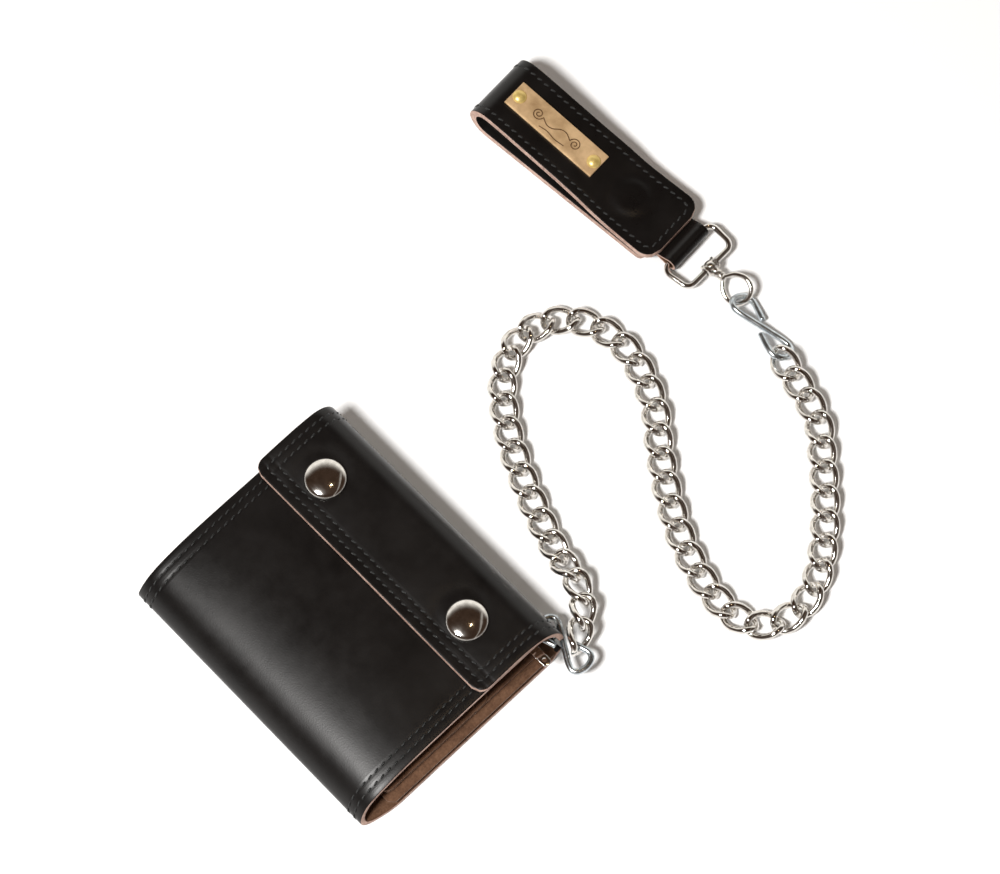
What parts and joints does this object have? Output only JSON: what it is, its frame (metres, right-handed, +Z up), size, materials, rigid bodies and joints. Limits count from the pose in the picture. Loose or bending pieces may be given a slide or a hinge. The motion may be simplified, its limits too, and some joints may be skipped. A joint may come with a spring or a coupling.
{
  "type": "chain wallet",
  "caption": "Leather wallet with a snap-down flap, on a curb chain that runs from a hook at its fold to a swivel ring and a folded belt loop with a blank brass plate.",
  "frame": {"origin": "middle of the wallet's flat underside, level with the surface it lies on", "axes": "+Z up; +X along the wallet's width towards the end the chain is hooked to; +Y from the wallet's spine towards its fold and on to the belt loop"},
  "size_m": [0.2187, 0.2406, 0.0251],
  "materials": {
    "black_leather": "smooth, polished",
    "brown_leather": "suede",
    "nickel_plate": "bright plate",
    "zinc_plate": "dull bluish plate",
    "brass": "aged, satin",
    "zip_cloth": "woven tape with moulded teeth"
  },
  "bodies": {
    "wallet": {"cover_back": "black_leather", "lining_back": "brown_leather", "bill_divider": "brown_leather", "card_pocket_1": "brown_leather", "card_pocket_2": "brown_leather", "hook_eyelet": "nickel_plate", "eyelet_washer": "nickel_plate"},
    "flap": {"cover_flap": "black_leather", "snap_cap_left": "nickel_plate", "snap_cap_right": "nickel_plate", "snap_socket_left": "nickel_plate", "snap_socket_right": "nickel_plate"},
    "front": {"coin_pouch": "brown_leather", "coin_zip": "zip_cloth", "cover_front": "black_leather", "lining_front": "brown_leather", "snap_post_left": "nickel_plate", "snap_post_right": "nickel_plate", "snap_stud_left": "nickel_plate", "snap_stud_right": "nickel_plate"},
    "zip_runner": {"zip_pull": "nickel_plate", "zip_slider": "nickel_plate"},
    "wallet_hook": {"wallet_s_hook": "zinc_plate"},
    "chain_01_02": {"chain_links_01_02": "nickel_plate"},
    "chain_03_04": {"chain_links_03_04": "nickel_plate"},
    "chain_05_06": {"chain_links_05_06": "nickel_plate"},
    "chain_07_08": {"chain_links_07_08": "nickel_plate"},
    "chain_09_10": {"chain_links_09_10": "nickel_plate"},
    "chain_11_12": {"chain_links_11_12": "nickel_plate"},
    "chain_13_14": {"chain_links_13_14": "nickel_plate"},
    "chain_15_16": {"chain_links_15_16": "nickel_plate"},
    "chain_17_18": {"chain_links_17_18": "nickel_plate"},
    "chain_19_20": {"chain_links_19_20": "nickel_plate"},
    "chain_21_22": {"chain_links_21_22": "nickel_plate"},
    "chain_23_24": {"chain_links_23_24": "nickel_plate"},
    "chain_25_26": {"chain_links_25_26": "nickel_plate"},
    "chain_27_28": {"chain_links_27_28": "nickel_plate"},
    "chain_29_30": {"chain_links_29_30": "nickel_plate"},
    "chain_31_32": {"chain_links_31_32": "nickel_plate"},
    "chain_33_34": {"chain_links_33_34": "nickel_plate"},
    "chain_35_36": {"chain_links_35_36": "nickel_plate"},
    "chain_37_38": {"chain_links_37_38": "nickel_plate"},
    "chain_39_40": {"chain_links_39_40": "nickel_plate"},
    "chain_41_42": {"chain_links_41_42": "nickel_plate"},
    "chain_43_44": {"chain_links_43_44": "nickel_plate"},
    "belt_hook": {"belt_s_hook": "zinc_plate"},
    "pear_eye": {"pear_eye": "nickel_plate"},
    "swivel": {"swivel_barrel": "nickel_plate"},
    "ring": {"d_ring": "nickel_plate"},
    "belt_loop": {"dring_tab": "black_leather", "strap_lower_lining": "black_leather", "strap_lower_outer": "black_leather", "strap_snap_stud": "nickel_plate"},
    "strap_fold": {"name_plate": "brass", "plate_rivet_1": "brass", "plate_rivet_2": "brass", "strap_snap_socket": "nickel_plate", "strap_upper_lining": "black_leather", "strap_upper_outer": "black_leather"}
  },
  "joints": [
    {"name": "flap_crease", "type": "hinge", "parent": "wallet", "child": "flap", "pos_m": [0, 0.0465, 0.018], "axis": [-1, 0, 0], "range_deg": [0, 175]},
    {"name": "front_crease", "type": "hinge", "parent": "wallet", "child": "front", "pos_m": [0, -0.03665, 0.0177], "axis": [1, 0, 0], "range_deg": [0, 12]},
    {"name": "zip_slide", "type": "slide", "parent": "front", "child": "zip_runner", "axis": [1, 0, 0], "range_m": [-0.09, 0]},
    {"name": "wallet_hook_turn", "type": "hinge", "parent": "wallet", "child": "wallet_hook", "pos_m": [0.0462, 0.0455, 0.008], "axis": [0, 1, 0], "range_deg": [-6, 6]},
    {"name": "belt_hook_turn", "type": "hinge", "parent": "chain_43_44", "child": "belt_hook", "pos_m": [0.03537, 0.1763, 0.0039], "axis": [0, 0, 1], "range_deg": [-2, 18]},
    {"name": "eye_turn", "type": "hinge", "parent": "belt_hook", "child": "pear_eye", "pos_m": [0.01066, 0.18214, 0.0046], "axis": [0, 0, 1], "range_deg": [-10, 20]},
    {"name": "swivel_spin", "type": "hinge", "parent": "pear_eye", "child": "swivel", "pos_m": [-0.00722, 0.18121, 0.0046], "axis": [0.9986, 0.0523, 0], "continuous": true},
    {"name": "ring_turn", "type": "hinge", "parent": "swivel", "child": "ring", "pos_m": [-0.00722, 0.18121, 0.0046], "axis": [-0.0523, 0.9986, 0], "range_deg": [-60, 60]},
    {"name": "belt_loop_turn", "type": "hinge", "parent": "ring", "child": "belt_loop", "pos_m": [-0.0188, 0.1806, 0.0046], "axis": [-0.0906, 0.9959, 0], "range_deg": [-45, 45]},
    {"name": "strap_crease", "type": "hinge", "parent": "belt_loop", "child": "strap_fold", "pos_m": [-0.1096, 0.1724, 0.008], "axis": [0.0906, -0.9959, 0], "range_deg": [0, 100]},
    {"name": "link_01_turn", "type": "hinge", "parent": "wallet_hook", "child": "chain_01_02", "pos_m": [0.06127, 0.04724, 0.00867], "axis": [-0.8491, -0.5283, 0], "range_deg": [-10, 20]},
    {"name": "link_03_turn", "type": "hinge", "parent": "chain_01_02", "child": "chain_03_04", "pos_m": [0.05026, 0.06124, 0.00748], "axis": [0, 0, 1], "range_deg": [-20, 6]},
    {"name": "link_05_turn", "type": "hinge", "parent": "chain_03_04", "child": "chain_05_06", "pos_m": [0.0338, 0.06665, 0.00522], "axis": [0.3103, 0.9507, 0], "range_deg": [-20, 14]},
    {"name": "link_07_turn", "type": "hinge", "parent": "chain_05_06", "child": "chain_07_08", "pos_m": [0.0169, 0.0725, 0.00333], "axis": [0, 0, -1], "range_deg": [-20, 20]},
    {"name": "link_09_turn", "type": "hinge", "parent": "chain_07_08", "child": "chain_09_10", "pos_m": [0.00028, 0.07946, 0.00325], "axis": [-0.4571, -0.8894, 0], "range_deg": [-20, 20]},
    {"name": "link_11_turn", "type": "hinge", "parent": "chain_09_10", "child": "chain_11_12", "pos_m": [-0.0154, 0.0883, 0.00325], "axis": [0, 0, 1], "range_deg": [-20, 20]},
    {"name": "link_13_turn", "type": "hinge", "parent": "chain_11_12", "child": "chain_13_14", "pos_m": [-0.02893, 0.10006, 0.00325], "axis": [0.8738, 0.4862, 0], "range_deg": [-20, 20]},
    {"name": "link_15_turn", "type": "hinge", "parent": "chain_13_14", "child": "chain_15_16", "pos_m": [-0.03495, 0.11668, 0.00325], "axis": [0, 0, -1], "range_deg": [-20, 14]},
    {"name": "link_17_turn", "type": "hinge", "parent": "chain_15_16", "child": "chain_17_18", "pos_m": [-0.02662, 0.13214, 0.00325], "axis": [-0.4558, 0.8901, 0], "range_deg": [-20, 20]},
    {"name": "link_19_turn", "type": "hinge", "parent": "chain_17_18", "child": "chain_19_20", "pos_m": [-0.00982, 0.13793, 0.00325], "axis": [0, 0, 1], "range_deg": [-18, 20]},
    {"name": "link_21_turn", "type": "hinge", "parent": "chain_19_20", "child": "chain_21_22", "pos_m": [0.00764, 0.13405, 0.00325], "axis": [-0.4365, -0.8997, 0], "range_deg": [-20, 20]},
    {"name": "link_23_turn", "type": "hinge", "parent": "chain_21_22", "child": "chain_23_24", "pos_m": [0.02295, 0.12473, 0.00325], "axis": [0, 0, -1], "range_deg": [-20, 20]},
    {"name": "link_25_turn", "type": "hinge", "parent": "chain_23_24", "child": "chain_25_26", "pos_m": [0.03726, 0.1138, 0.00325], "axis": [0.5415, 0.8407, 0], "range_deg": [-20, 20]},
    {"name": "link_27_turn", "type": "hinge", "parent": "chain_25_26", "child": "chain_27_28", "pos_m": [0.05267, 0.10448, 0.00325], "axis": [0, 0, 1], "range_deg": [-20, 20]},
    {"name": "link_29_turn", "type": "hinge", "parent": "chain_27_28", "child": "chain_29_30", "pos_m": [0.06935, 0.09774, 0.00325], "axis": [-0.2095, -0.9778, 0], "range_deg": [-20, 20]},
    {"name": "link_31_turn", "type": "hinge", "parent": "chain_29_30", "child": "chain_31_32", "pos_m": [0.08713, 0.09539, 0.00325], "axis": [0, 0, -1], "range_deg": [-14, 20]},
    {"name": "link_33_turn", "type": "hinge", "parent": "chain_31_32", "child": "chain_33_34", "pos_m": [0.10148, 0.10468, 0.00325], "axis": [-0.9812, 0.1929, 0], "range_deg": [-10, 20]},
    {"name": "link_35_turn", "type": "hinge", "parent": "chain_33_34", "child": "chain_35_36", "pos_m": [0.10123, 0.1222, 0.00325], "axis": [0, 0, 1], "range_deg": [-20, 10]},
    {"name": "link_37_turn", "type": "hinge", "parent": "chain_35_36", "child": "chain_37_38", "pos_m": [0.09177, 0.13744, 0.00325], "axis": [0.7465, 0.6654, 0], "range_deg": [-20, 20]},
    {"name": "link_39_turn", "type": "hinge", "parent": "chain_37_38", "child": "chain_39_40", "pos_m": [0.07938, 0.15051, 0.00328], "axis": [0, 0, -1], "range_deg": [-10, 20]},
    {"name": "link_41_turn", "type": "hinge", "parent": "chain_39_40", "child": "chain_41_42", "pos_m": [0.06595, 0.16252, 0.00337], "axis": [-0.5734, -0.8193, 0], "range_deg": [-20, 20]},
    {"name": "link_43_turn", "type": "hinge", "parent": "chain_41_42", "child": "chain_43_44", "pos_m": [0.05011, 0.17062, 0.00397], "axis": [0, 0, 1], "range_deg": [-20, 14]}
  ],
  "couplings": [
    {"joint": "front_crease", "follows": "flap_crease", "ratio": 0.068571}
  ]
}
